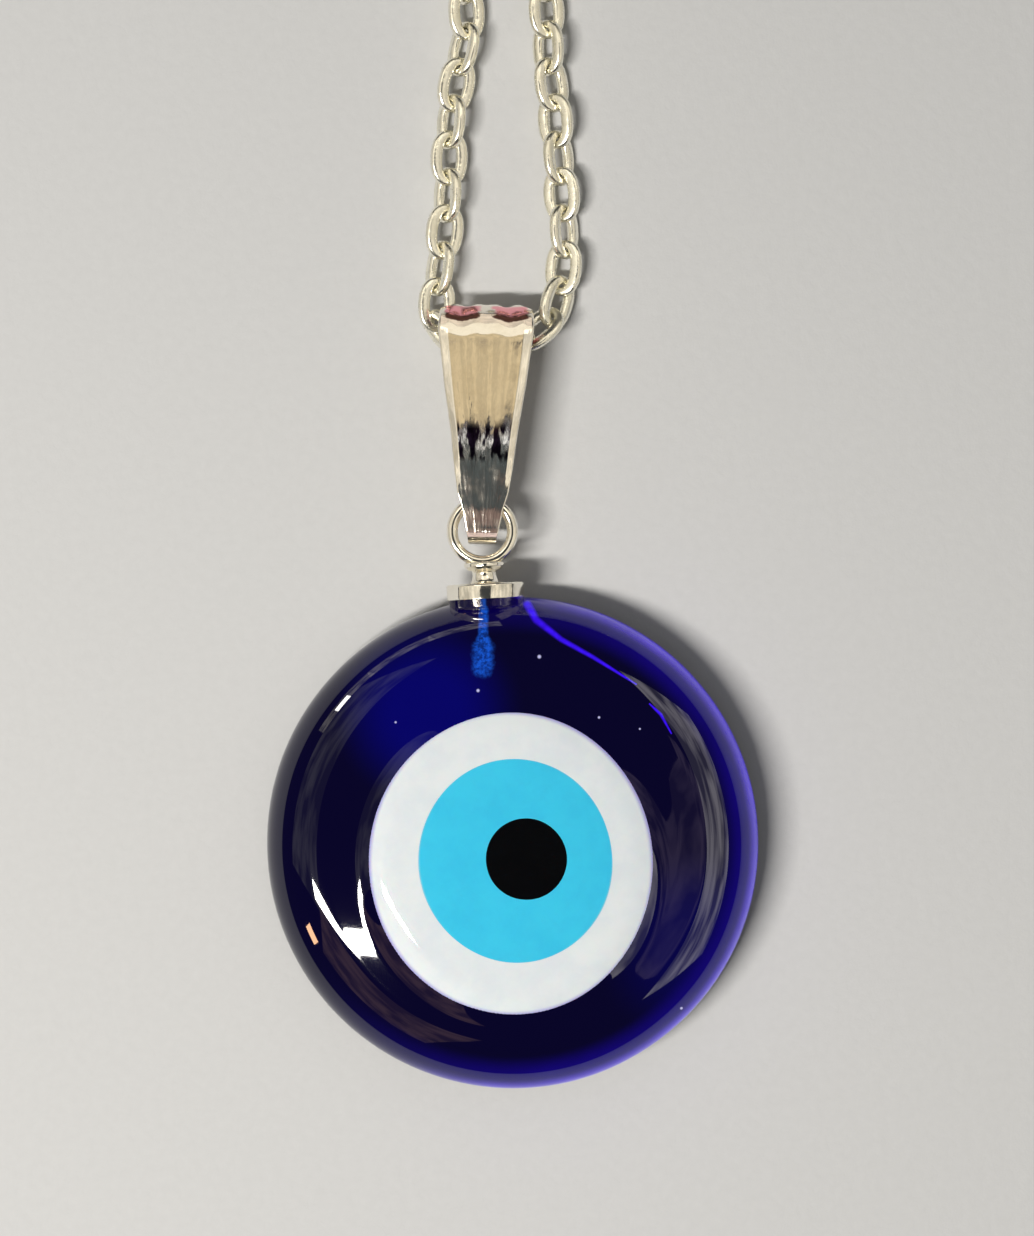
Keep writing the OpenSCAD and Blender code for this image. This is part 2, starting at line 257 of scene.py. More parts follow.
def hang_card(name, group, turn, lean, spread, distance, radiance, colour, spin=0.0,
              cloud=0.0, aim=LOOK_AT):
    """An area light that fills a patch of the sky; angles in degrees, distance in mm."""
    turned, leaned, spun = (math.radians(angle) for angle in (turn, sum(lean) / 2, spin))
    out = view_right * math.cos(turned) + view_up * math.sin(turned)
    toward = out * math.sin(leaned) + Vector((0, 0, math.cos(leaned)))
    across = Vector((0, 0, 1)).cross(toward).normalized()
    along = toward.cross(across)
    wide, high = (2 * distance * math.tan(math.radians(angle / 2)) * MM
                  for angle in (spread, lean[1] - lean[0]))
    data = bpy.data.lights.new(name, "AREA")
    data.shape = "RECTANGLE"
    data.size = wide
    data.size_y = high
    data.energy = radiance * math.pi * wide * high
    data.color = colour
    card = bpy.data.objects.new(name, data)
    bpy.context.scene.collection.objects.link(card)
    card.matrix_world = pose_matrix(across * math.cos(spun) + along * math.sin(spun),
                                    along * math.cos(spun) - across * math.sin(spun),
                                    toward, aim + toward * distance * MM)
    card.visible_camera = False
    if group:
        card.light_linking.receiver_collection = lit_groups[group]
    if cloud:
        paint_clouds(data, cloud)


def paint_clouds(data, cloud):
    """Makes a card patchy: its strength falls to 1 - cloud in places."""
    data.use_nodes = True
    tree = data.node_tree
    emission = tree.nodes["Emission"]
    spot = tree.nodes.new("ShaderNodeNewGeometry")
    clouds = tree.nodes.new("ShaderNodeTexNoise")
    clouds.inputs["Scale"].default_value = CLOUD_SCALE
    clouds.inputs["Detail"].default_value = CLOUD_DETAIL
    levels = tree.nodes.new("ShaderNodeMapRange")
    levels.inputs["From Min"].default_value = CLOUD_LOW
    levels.inputs["From Max"].default_value = CLOUD_HIGH
    levels.inputs["To Min"].default_value = 1 - cloud
    tree.links.new(spot.outputs["Parametric"], clouds.inputs["Vector"])
    tree.links.new(clouds.outputs["Fac"], levels.inputs["Value"])
    tree.links.new(levels.outputs["Result"], emission.inputs["Strength"])


# %% Hang the window and the floor's soft light
hang_card("window", None, turn=213, lean=(16, 40), spread=3.2, distance=343, radiance=130,
          colour=(1.0, 0.97, 0.92), spin=-34)
hang_card("floor_fill", "floor", turn=60, lean=(-35, 55), spread=90, distance=400,
          radiance=0.22, colour=(1.0, 0.99, 0.97))

# %% Hang the cards that the blue glass shows
hang_card("smoke_right", "blue", turn=-2, lean=(24, 63), spread=66, distance=300,
          radiance=2.5, colour=(1.0, 0.95, 0.98), cloud=0.85)
hang_card("smoke_left", "blue", turn=166, lean=(24, 66), spread=50, distance=300,
          radiance=0.5, colour=(1.0, 0.97, 0.94), cloud=0.8)
for number, turn in enumerate((105, 125, 145)):
    hang_card("arc_%d" % number, "blue", turn=turn, lean=(66, 77), spread=20, distance=300,
              radiance=1.7, colour=(1.0, 0.93, 0.82), cloud=0.8)
hang_card("arc_spot", "blue", turn=146, lean=(66, 73), spread=5, distance=300,
          radiance=28, colour=(1.0, 0.98, 0.94))
hang_card("warm_lamp", "blue", turn=210, lean=(62, 71), spread=5, distance=320,
          radiance=24, colour=(1.0, 0.55, 0.30))
hang_card("brown_card", "blue", turn=232, lean=(30, 62), spread=30, distance=300,
          radiance=0.7, colour=(1.0, 0.6, 0.5), cloud=0.7)
hang_card("violet_veil", "blue", turn=-25, lean=(13, 24), spread=26, distance=300,
          radiance=0.5, colour=(0.9, 0.7, 1.0), cloud=0.8)

# %% Hang the cards that the metal shows
CREAM = (1.0, 0.92, 0.77)
hang_card("beige_card", "bail", turn=96, lean=(1.5, 15), spread=30, distance=430,
          radiance=0.70, colour=(1.0, 0.80, 0.49), cloud=0.3, aim=BAIL_AT)
hang_card("cream_top", "metal", turn=90, lean=(15.5, 50), spread=60, distance=300,
          radiance=0.95, colour=CREAM, aim=BAIL_AT)
hang_card("cream_over", "bail", turn=90, lean=(50.5, 88), spread=60, distance=300,
          radiance=0.85, colour=(1.0, 0.86, 0.72), cloud=0.3, aim=BAIL_AT)
hang_card("violet_slip", "bail", turn=-90, lean=(-1.2, 2.4), spread=24, distance=430,
          radiance=0.035, colour=(0.8, 0.5, 1.0), aim=BAIL_AT)
hang_card("white_slip", "bail", turn=-90, lean=(1.6, 3.2), spread=24, distance=430,
          radiance=1.6, colour=(0.95, 0.97, 1.0), cloud=1.0, aim=BAIL_AT)
hang_card("teal_card", "bail", turn=-90, lean=(4.5, 10.5), spread=24, distance=430,
          radiance=0.065, colour=(0.6, 0.9, 1.0), cloud=0.9, aim=BAIL_AT)
hang_card("brown_slip", "bail", turn=-90, lean=(11.5, 24), spread=30, distance=430,
          radiance=0.24, colour=(1.0, 0.62, 0.52), cloud=0.5, aim=BAIL_AT)
hang_card("rose_card", "bail", turn=-90, lean=(26, 62), spread=60, distance=300,
          radiance=0.9, colour=(1.0, 0.78, 0.75), cloud=0.5, aim=BAIL_AT)
for side, turn in (("left", 178), ("right", -2)):
    hang_card("near_" + side, "metal", turn=turn, lean=(17, 50), spread=70, distance=300,
              radiance=0.95, colour=CREAM, cloud=0.4, aim=BAIL_AT)
    hang_card("low_" + side, "metal", turn=turn, lean=(50, 86), spread=80, distance=300,
              radiance=0.75, colour=CREAM, cloud=0.4, aim=BAIL_AT)

# %% Darken the room
ROOM_COLOUR, ROOM_STRENGTH = (0.9, 0.95, 1.0, 1), 0.05

world = bpy.data.worlds.new("room")
bpy.context.scene.world = world
world.use_nodes = True
air = world.node_tree.nodes["Background"]
air.inputs["Color"].default_value = ROOM_COLOUR
air.inputs["Strength"].default_value = ROOM_STRENGTH
bpy.context.scene.view_settings.view_transform = "Standard"
print("cards:", ", ".join(sorted(lamp.name for lamp in bpy.data.lights)))

# %% [markdown]
# ## Meshes from rows of points
#
# Glass, bails and layers are all tubes or discs: rows of points, each row joined
# to the next. A modifier could turn a profile, but rows of points also let the
# surface be a little uneven, as poured glass and stamped metal are.

# %% Turn rows of points into pieces


def mesh_of_rows(rows, looped=False):
    """Points and faces from rows of points, each a closed ring; the ends meet or are capped."""
    rows = np.asarray(rows, float)
    count, around = rows.shape[:2]
    points = [tuple(p) for row in rows for p in row]
    faces = []
    for i in range(count if looped else count - 1):
        a, b = i * around, (i + 1) % count * around
        for j in range(around):
            k = (j + 1) % around
            faces.append((a + j, a + k, b + k, b + j))
    if not looped:
        first_middle, last = len(points), (count - 1) * around
        points += [tuple(rows[0].mean(0)), tuple(rows[-1].mean(0))]
        for j in range(around):
            k = (j + 1) % around
            faces.append((k, j, first_middle))
            faces.append((last + j, last + k, first_middle + 1))
    return points, faces


LIT_BY = {"blue_glass": "blue", "fittings": "metal", "chain": "metal"}


def make_piece(name, solids, look, slot, stands_for):
    """One smooth-shaded piece from several (points, faces), given in millimetres."""
    points, faces = [], []
    for some_points, some_faces in solids:
        shift = len(points)
        points += [tuple(c * MM for c in p) for p in some_points]
        faces += [tuple(i + shift for i in face) for face in some_faces]
    mesh = bpy.data.meshes.new(name)
    mesh.from_pydata(points, [], faces)
    mesh.validate()
    mesh.polygons.foreach_set("use_smooth", [True] * len(mesh.polygons))
    mesh.materials.append(look)
    piece = bpy.data.objects.new(name, mesh)
    bpy.context.scene.collection.objects.link(piece)
    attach(piece, "root")
    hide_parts(*stands_for)
    if slot in LIT_BY:
        lit_groups[LIT_BY[slot]].objects.link(piece)
    print(name, len(faces), "faces")
    return piece


def arc(middle, radius, start, end, steps):
    """Points of an arc from start to end in degrees, both ends included."""
    return [(middle[0] + radius * math.cos(math.radians(a)),
             middle[1] + radius * math.sin(math.radians(a)))
            for a in np.linspace(start, end, steps)]


# %% [markdown]
# ## The shape of the glass
#
# The real disc is poured hot: a thick drop of blue glass, then white, light
# blue and black drops pressed into it. It cools with a rounded shoulder, a
# terrace round the raised white where two glasses met, and a surface that is
# never quite even. The terrace is deeper at the lower left, as the window's
# hooked reflection shows: a flat front would draw a plain bar. The section
# below has the sizes of the CAD solid: a front that is a very shallow dome of
# radius CROWN_R, which meets the shoulder's arc at TOUCH_R from the middle. The
# terrace and the unevenness are added to that front.

# %% Measure the glass
DISC_R, DISC_T = 15.0, 7.0
BACK_ROUND, FRONT_ROUND = 2.175, 4.0
SHOULDER_R, SHOULDER_Z = DISC_R - FRONT_ROUND, BACK_ROUND + 0.2
CROWN_R = 101.13
TOUCH_R = 11.45
WHITE = dict(x=-0.2, y=-1.0, w=17.1, h=18.3)
IRIS = dict(x=0.1, y=-0.85, w=11.7, h=12.4)
PUPIL = dict(x=0.75, y=-0.8, w=5.0, h=5.0)
STEP_DROP, STEP_IN, STEP_OUT = 0.30, -1.3, 1.0
STEP_SIDE, STEP_MORE, STEP_REACH = (-0.82, -0.57), 0.7, 10.0
RIPPLE, RIPPLE_SINK, WAVE = 0.03, 0.4, 5.0
NARROWING, LONG_WAVE = 0.003, 7.0
AROUND = 256
print("disc", 2 * DISC_R, "mm wide and", DISC_T, "mm thick")

# %% Find the height of the front


def beyond_white(x, y):
    """Distance outside the white layer's outline, in millimetres, about."""
    share = math.hypot((x - WHITE["x"]) * 2 / WHITE["w"], (y - WHITE["y"]) * 2 / WHITE["h"])
    return (share - 1) * (WHITE["w"] + WHITE["h"]) / 4


def ease(value, low, high):
    """0 below low, 1 above high, and a soft step between them."""
    t = min(1.0, max(0.0, (value - low) / (high - low)))
    return t * t * (3 - 2 * t)


def rise(value, start, end):
    """0 at start, 1 at end, straight between them."""
    return min(1.0, max(0.0, (value - start) / (end - start)))


def unevenness(x, y, z, wave):
    """Smooth noise from about -1 to 1, with hills about a wave apart."""
    return noise.noise(Vector((x, y, z)) / wave)


def ripple(x, y):
    """Low hills and hollows of the front, sunk a little so that they stay in the CAD box."""
    return RIPPLE * (unevenness(x, y, 0, WAVE) - RIPPLE_SINK)


def step_depth(x, y):
    """How far the blue glass lies below the eye; more on the side that the eye leans to."""
    side = (x * STEP_SIDE[0] + y * STEP_SIDE[1]) / max(STEP_REACH, math.hypot(x, y))
    return STEP_DROP * (1 + STEP_MORE * side)


def front_z(x, y):
    """Height of the disc's front."""
    r = math.hypot(x, y)
    if r < TOUCH_R:
        z = DISC_T - CROWN_R + math.sqrt(CROWN_R ** 2 - r * r)
    else:
        z = SHOULDER_Z + math.sqrt(max(FRONT_ROUND ** 2 - (r - SHOULDER_R) ** 2, 0))
    drop = step_depth(x, y) * ease(beyond_white(x, y), STEP_IN, STEP_OUT)
    return z - drop + ripple(x, y)


# %% Pour the blue disc
BACK_RINGS = (2, 5, 8, 10, 11.5)
BACK_STEPS, SHOULDER_STEPS, SHOULDER_END = 16, 44, 83
FRONT_RINGS = np.linspace(11.4, 0.3, 75)

profile = [(r, 0.0) for r in BACK_RINGS]
profile += arc((DISC_R - BACK_ROUND, BACK_ROUND), BACK_ROUND, -90, 0, BACK_STEPS)
profile += arc((SHOULDER_R, SHOULDER_Z), FRONT_ROUND, 0, SHOULDER_END, SHOULDER_STEPS)
profile += [(r, None) for r in FRONT_RINGS]
disc_rows = []
for r, z in profile:
    row = []
    for turn in np.linspace(0, 2 * math.pi, AROUND, endpoint=False):
        x, y = r * math.cos(turn), r * math.sin(turn)
        if z is None:
            row.append((x, y, front_z(x, y)))
        else:
            up = min(z / DISC_T, 1)
            shrink = 1 - NARROWING * up * (1 + unevenness(x, y, z, LONG_WAVE))
            sunk = step_depth(x, y) * rise(z, SHOULDER_Z, SHOULDER_Z + FRONT_ROUND)
            row.append((x * shrink, y * shrink, z - sunk + up * ripple(x, y)))
    disc_rows.append(row)
disc_solid = mesh_of_rows(disc_rows)
above_white = WHITE["y"] + WHITE["h"] / 2 + STEP_OUT
print("front at the middle", round(front_z(0, 0), 2), "mm, above the white",
      round(front_z(0, above_white), 2), "mm")

# %% [markdown]
# ## Blue glass
#
# Seven millimetres of cobalt glass let almost no light through, so the disc
# looks nearly black and only glows where light leaves it: in a band round the
# rim away from the window, beside the hole of the peg, and in a bright line
# where the glass folded as it was poured. True refraction could be traced, but
# it is slow and full of grain. The depth is laid in as colour instead: a dark
# body, a glow that belongs to places in the glass and is part paint and part
# emission, and a mirror-smooth surface.

# %% Find places in the glass


def length(x, y):
    """Length of a vector whose two parts are signals."""
    return (x * x + y * y) ** 0.5


def from_line(x, y, start, end):
    """Distance from the line between two points, and the share run along it."""
    bx, by = end[0] - start[0], end[1] - start[1]
    px, py = x - start[0], y - start[1]
    share = ((px * bx + py * by) / (bx * bx + by * by)).clamped()
    return length(px - share * bx, py - share * by), share


def soft_spot(x, y, middle, size):
    """1 in the middle of a spot, fading to 0 at its size."""
    return 1 - length(x - middle[0], y - middle[1]).ramp(size * 0.3, size)


# %% Glow in the rim and the body
FRONT_FROM_TO = (1.5, 3.5)
WINDOW_AWAY = (0.94, -0.34)
BAND_FROM_TO, BAND_TURN = (12.6, 13.9), (-0.75, 0.5)
EDGE_FROM_TO, EDGE_TURN = (14.2, 14.8), (-0.35, 0.4)
GLOWS = [((-4.2, 8.6), 6.0, 0.95), ((10.5, -7.5), 6.5, 0.35)]

glass = Shader("cobalt_glass")
spot = glass.place()
gx, gy, gz = glass.split(spot)
radius = length(gx, gy)
cloud = glass.noise(spot, 0.35, detail=3.0, roughness=0.6)
front = gz.ramp(*FRONT_FROM_TO)

away = (gx * WINDOW_AWAY[0] + gy * WINDOW_AWAY[1]) / (radius + 0.001)
band = radius.ramp(*BAND_FROM_TO) * away.ramp(*BAND_TURN) * (0.6 + cloud * 0.6)
edge_line = radius.ramp(*EDGE_FROM_TO) * away.ramp(*EDGE_TURN) * (0.5 + cloud * 0.8)
inner = sum(soft_spot(gx, gy, middle, size) * share for middle, size, share in GLOWS)

# %% Paint the bright glowing line where the glass folded
FOLD = [(2.47, 14.34), (2.89, 13.34), (4.25, 12.01), (6.05, 10.74), (8.43, 8.86)]
FOLD_WIDTHS = [0.36, 0.30, 0.22, 0.17, 0.07]
FOLD_END = [(9.1, 7.6), (9.7, 6.9), (10.2, 5.7)]
FOLD_END_WIDTHS = [0.07, 0.13, 0.06]
FOLD_SOFTNESS = (0.15, 1.0)
streak = None
for line_points, widths in ((FOLD, FOLD_WIDTHS), (FOLD_END, FOLD_END_WIDTHS)):
    for start, end, wide, narrow in zip(line_points, line_points[1:], widths, widths[1:]):
        off, share = from_line(gx, gy, start, end)
        line = 1 - (off / (share * (narrow - wide) + wide)).ramp(*FOLD_SOFTNESS)
        streak = line if streak is None else streak.at_least(line)
streak = streak * (0.35 + glass.noise(spot, 1.6, detail=3.0, roughness=0.6) * 1.1)

# %% Paint the peg in its hole and the glue at its end as a glowing blue streak
PEG_START, PEG_TIP = (-0.12, 14.9), (-0.61, 10.9)
PEG_HALF, GLUE_HALF, GLUE_FROM_TO = 0.34, 0.40, (0.5, 0.7)
SHAFT_SOFTNESS = (0.45, 1.1)

shaft_off, shaft_run = from_line(gx, gy, PEG_START, PEG_TIP)
ragged = glass.noise(spot, 2.6, detail=4.0, roughness=0.7)
shaft_reach = PEG_HALF + shaft_run.ramp(*GLUE_FROM_TO) * GLUE_HALF * (0.45 + ragged)
mottle = glass.noise(spot, 3.4, detail=4.0, roughness=0.75).ramp(0.38, 0.62)
shaft = (1 - (shaft_off / shaft_reach).ramp(*SHAFT_SOFTNESS)) * (0.25 + mottle * 0.75)

# %% Mix the blue glass
GREY_SPECKS = [((-1.04, 9.51), 0.13), ((-6.16, 8.15), 0.09), ((2.83, 11.13), 0.15),
         ((5.99, 7.13), 0.1), ((8.35, 6.18), 0.08), ((9.08, -10.93), 0.12)]
DARK_BODY, BODY_GLOW, BAND_BLUE = (0.0003, 0.0, 0.006), (0.0002, 0.0, 0.042), (0.0016, 0.0, 0.055)
EDGE_BLUE, FOLD_BLUE, PEG_BLUE = (0.012, 0.0, 0.20), (0.016, 0.002, 0.34), (0.0025, 0.03, 0.20)
SPECK_GREY = (0.17, 0.17, 0.27)

deep = DARK_BODY
for amount, tone in ((inner, BODY_GLOW), (band, BAND_BLUE), (edge_line, EDGE_BLUE),
                     (streak, FOLD_BLUE), (shaft, PEG_BLUE)):
    deep = glass.colour((amount * front).clamped(), deep, tone)
# Small grey specks on the front, painted into the colour and its emission.
for middle, size in GREY_SPECKS:
    deep = glass.colour(soft_spot(gx, gy, middle, size) * front, deep, SPECK_GREY)
blue_glass = glass.finish(base_color=deep, emission_color=deep, emission_strength=2.0,
                          roughness=0.025, ior=1.52)
make_piece("blue_disc", [disc_solid], blue_glass, "blue_glass", ["glass_disc"])

# %% [markdown]
# ## White, light blue and black glass
#
# Each layer is a drop pressed into the one before, so its outline is close to an
# ellipse but wanders a little, and its edge is rounded where it meets its
# neighbour. It is made as a thin cap that follows the disc's own front. Opaque
# glass lets light in a short way, which softens its shading, so a little
# subsurface scatter is mixed in, and a tint along the outline shows where the
# blue glass covers it.

# %% Press in the three layers
LAYER_EDGE = 0.3
LAYER_STEP, LAYER_SINK = 0.006, 0.001
LAYER_SKIRT = 0.35
TOP_RINGS, EDGE_RINGS = 36, 10
SWELLS = [(2, 1, 0.5), (3, -1, 0.3), (5, 2, 0.2)]


def layer_solid(oval, level, wander, phase):
    """A thin cap of oval outline on the disc's front; level counts the layers from below."""
    lift = level * LAYER_STEP
    edge = LAYER_EDGE * 2 / oval["w"]
    steps = [(share, 0.0) for share in np.linspace(0.02, 1 - edge, TOP_RINGS)]
    steps += [(1 - edge * (1 - t), (LAYER_STEP + LAYER_SINK) * ease(t, 0, 1))
              for t in np.linspace(0.1, 1, EDGE_RINGS)]
    steps += [(1.0, LAYER_SKIRT)]
    rows = []
    for share, down in steps:
        row = []
        for turn in np.linspace(0, 2 * math.pi, AROUND, endpoint=False):
            swell = 1 + wander * sum(share_of * math.sin(times * turn + late * phase)
                                     for times, late, share_of in SWELLS)
            x = oval["x"] + share * swell * oval["w"] / 2 * math.cos(turn)
            y = oval["y"] + share * swell * oval["h"] / 2 * math.sin(turn)
            row.append((x, y, front_z(x, y) + lift - down))
        rows.append(row)
    return mesh_of_rows(rows[::-1])


# %% Mix the opaque glass


def milk_glass(name, colour, shade, edge_colour, oval, edge_width):
    """Opaque glass: faint clouds of a shade, a tint along its outline, and gloss."""
    paint = Shader(name)
    spot = paint.place()
    x, y = paint.split(spot)[:2]
    ex, ey = (x - oval["x"]) * (2 / oval["w"]), (y - oval["y"]) * (2 / oval["h"])
    inward = (1 - length(ex, ey)) * (oval["w"] / 2)
    clouds = paint.noise(spot, 0.5, detail=4.0, roughness=0.6).ramp(0.35, 0.7)
    body = paint.colour(clouds, colour, shade)
    tinted = paint.colour(1 - inward.ramp(0.0, edge_width), body, edge_colour)
    return paint.finish(base_color=tinted, roughness=0.04, ior=1.5,
                        subsurface_weight=0.15, subsurface_scale=0.6 * MM)


white_glass = milk_glass("white_glass", colour=(0.88, 0.93, 0.96), shade=(0.82, 0.88, 0.93),
                         edge_colour=(0.42, 0.38, 0.80), oval=WHITE, edge_width=0.32)
light_blue_glass = milk_glass("light_blue_glass", colour=(0.06, 0.67, 0.98),
                              shade=(0.053, 0.62, 0.94), edge_colour=(0.34, 0.70, 0.86),
                              oval=IRIS, edge_width=0.16)
black_glass = milk_glass("black_glass", colour=(0.0015, 0.0015, 0.002),
                         shade=(0.001, 0.001, 0.0015), edge_colour=(0.004, 0.006, 0.01),
                         oval=PUPIL, edge_width=0.1)
make_piece("white_drop", [layer_solid(WHITE, level=1, wander=0.010, phase=0.7)], white_glass,
           "white_glass", ["eye_white"])
make_piece("light_blue_drop", [layer_solid(IRIS, level=2, wander=0.008, phase=2.1)],
           light_blue_glass, "light_blue_glass", ["eye_iris"])
make_piece("black_drop", [layer_solid(PUPIL, level=3, wander=0.008, phase=4.0)], black_glass,
           "black_glass", ["eye_pupil"])

# %% [markdown]
# ## Plated metal
#
# The fittings look like brass with bright plating of a warm silver colour. A mirror
# has no look of its own, so what makes it read as worn metal is small: a faint
# tint, patches of duller plating, and a relief that bends the reflections. The
# relief differs: a turned or cast piece has shallow dents, and rolled sheet has
# streaks along its length.

# %% Plate the metal


def plating(name, colour, dull_colour, gloss, dull, relief, depth, painted_reflections=None):
    """Bright plating with duller patches, over dents or streaks of a depth in mm."""
    metal = Shader(name)
    spot = metal.place()
    patch = metal.noise(spot, 0.9, detail=3.0, roughness=0.6).ramp(0.42, 0.7)
    fine = metal.noise(spot, 9.0)
    tone = metal.colour(patch, colour, dull_colour)
    # A finish may paint reflections into the colour here.
    if painted_reflections:
        tone = painted_reflections(metal, spot, tone)
    return metal.finish(
        base_color=tone,
        metallic=1.0,
        roughness=patch * (dull - gloss) + gloss + fine * 0.03,
        normal=metal.relief(relief(metal, spot), depth * MM))


def dents(metal, spot):
    """Shallow dents, about half a millimetre across."""
    return metal.noise(spot, 2.0)


fitting_plating = plating("fitting_plating", colour=(0.94, 0.90, 0.80),
                          dull_colour=(0.86, 0.80, 0.68), gloss=0.07, dull=0.16,
                          relief=dents, depth=0.012)
chain_plating = plating("chain_plating", colour=(0.95, 0.92, 0.80),
                        dull_colour=(0.84, 0.81, 0.68), gloss=0.20, dull=0.32,
                        relief=dents, depth=0.03)

# %% [markdown]
# ## The peg bail
#
# A turned cap sits on the rim, with a waisted neck, a collar and a soldered
# ring. It is made as one lathe profile and one torus; the cap's edge gets a few
# dents, since these caps are pressed from thin metal.

# %% Turn the peg bail
PEG_Z = 3.3
PEG_BASE = Vector((0, DISC_R, PEG_Z))
PEG_LEAN = math.radians(3.2)
peg_out = Vector((math.sin(PEG_LEAN), math.cos(PEG_LEAN), 0))
peg_side = Vector((math.cos(PEG_LEAN), -math.sin(PEG_LEAN), 0))
UP = Vector((0, 0, 1))


def lathe(profile, around=96, dent=0.0):
    """A turned solid along the peg from (radius, height) points, with dents in its rim."""
    rows = []
    for r, h in profile:
        row = []
        for turn in np.linspace(0, 2 * math.pi, around, endpoint=False):
            push = dent * r * noise.noise(Vector((math.cos(turn) * 2, math.sin(turn) * 2, h * 3)))
            p = (PEG_BASE + peg_out * h + (peg_side * math.cos(turn) + UP * math.sin(turn))
                 * (r + push))
            row.append(tuple(p))
        rows.append(row)
    return mesh_of_rows(rows[::-1])


CAP_R, CAP_TOP, CAP_EDGE, CAP_FOOT, CAP_FOOT_EDGE = 2.35, 0.88, 0.16, -0.02, 0.06
SUNK_SKIRT = [(1.2, -0.75), (2.2, -0.5)]
NECK = [(1.6, 0.865), (1.15, 0.86), (0.95, 0.9), (0.86, 0.98), (0.78, 1.15),
        (0.73, 1.4), (0.73, 1.55), (0.80, 1.66), (1.05, 1.71)]
COLLAR_MID, COLLAR_LOW, COLLAR_HIGH, COLLAR_EDGE = 1.1, 1.96, 2.06, 0.12
COLLAR_TOP = [(0.7, 2.2), (0.3, 2.22)]

cap_profile = SUNK_SKIRT + arc((CAP_R - CAP_FOOT_EDGE, CAP_FOOT), CAP_FOOT_EDGE, -90, 0, 4)
cap_profile += arc((CAP_R - CAP_EDGE, CAP_TOP - CAP_EDGE), CAP_EDGE, 0, 90, 8) + NECK
cap_profile += arc((COLLAR_MID, COLLAR_LOW), COLLAR_EDGE, -90, 0, 5)[1:]
cap_profile += arc((COLLAR_MID, COLLAR_HIGH), COLLAR_EDGE, 0, 90, 5) + COLLAR_TOP


def ring_solid(middle, right, forward, up, radius, wire, flat, around=128, section=24):
    """A ring of wire in the plane of right and forward, a little flatter than round."""
    rows = []
    for turn in np.linspace(0, 2 * math.pi, around, endpoint=False):
        out = right * math.cos(turn) + forward * math.sin(turn)
        rows.append([tuple(middle + out * (radius + wire / 2 * math.cos(a))
                           + up * (wire / 2 * flat * math.sin(a)))
                     for a in np.linspace(0, 2 * math.pi, section, endpoint=False)])
    return mesh_of_rows(rows[::-1], looped=True)


RING_R, RING_WIRE, RING_REACH, RING_FLAT = 1.83, 0.68, 4.07, 0.94
CAP_DENT = 0.02
ring_middle = PEG_BASE + peg_out * RING_REACH
peg_solids = [lathe(cap_profile, dent=CAP_DENT),
              ring_solid(ring_middle, peg_side, peg_out, UP, RING_R, RING_WIRE, RING_FLAT)]
make_piece("peg_cap_and_ring", peg_solids, fitting_plating, "fittings", ["peg_bail"])

# %% [markdown]
# ## The pinch bail
#
# One strip of sheet metal, rolled at the top round the chain and folded at the
# bottom through the ring. Its front is a panel with fine ribs between two bent
# edges, and two flutes swell into lobes on the roll. The strip is swept round a
# closed loop of stations, as in the CAD, with more stations and a rounded sheet
# edge, so that the flutes draw clean reflections. The photo shows two pink lobes
# on the roll and dark streaks at the waist. They are most likely reflections of
# the room, which a bare mirror shows from one side only. Here they are painted
# into the plating's colour as reflections by place on the strip, pink and brown
# on the lobes and violet black at the waist, so they stay in every view.

# %% Fold the pinch bail
BAIL_LEN, BAIL_W, SHEET = 14.6, 5.84, 0.4
ROLL_R, FOLD_R, LEAF_BOW, BACK_CUT = 2.1, 0.85, 0.2, 0.38
FLUTE_H, BEVEL_H = 0.14, 0.22
roll_mid, fold_mid = ROLL_R - SHEET / 2, FOLD_R - SHEET / 2
span = BAIL_LEN - ROLL_R - FOLD_R
lean = math.asin((roll_mid - fold_mid) / span)
WIDTHS = ([0, 0.02, 0.13, 0.2, 0.29, 0.47, 0.655, 0.9, 0.97, 1],
          [0.29, 0.31, 0.42, 0.53, 0.6, 0.71, 0.85, 1, 0.98, 0.93])
ROLL_CUT, LEAF_CUT = (-30, 30), (0.1, 0.6)
FOLD_STEPS, FRONT_STEPS, ROLL_STEPS, BACK_LEAF_STEPS = 20, 64, 56, 40

# A station is a place along the strip: where the middle of the sheet lies, which
# way its outer side faces, and how far its width is cut back, from 0 to 1.


def fold_station(a):
    """A station on the tight fold in the ring."""
    return (-fold_mid * math.cos(a), fold_mid * math.sin(a), -math.cos(a), math.sin(a), 0)


def roll_station(a):
    """A station on the roll round the chain."""
    return (span + roll_mid * math.cos(a), roll_mid * math.sin(a), math.cos(a), math.sin(a),
            rise(math.degrees(-a), *ROLL_CUT))


def leaf_station(t, side):
    """A station on the front leaf (side 1) or the back leaf (side -1)."""
    out = (-math.sin(lean), math.cos(lean))
    mid = fold_mid + (roll_mid - fold_mid) * t + LEAF_BOW * (1 - math.cos(2 * math.pi * t)) / 2
    return (span * t + out[0] * mid, side * out[1] * mid, out[0], side * out[1],
            rise(t, *LEAF_CUT) if side < 0 else 0)


half_fold, half_roll = math.pi / 2 - lean, math.pi / 2 + lean


def spaced(start, end, count):
    """Even steps from start up to, but not including, the end."""
    return np.linspace(start, end, count, endpoint=False)


stations = [fold_station(a) for a in spaced(-half_fold, half_fold, FOLD_STEPS)]
stations += [leaf_station(t, 1) for t in spaced(0, 1, FRONT_STEPS)]
stations += [roll_station(a) for a in spaced(half_roll, -half_roll, ROLL_STEPS)]
stations += [leaf_station(1 - t, -1) for t in spaced(0, 1, BACK_LEAF_STEPS)]

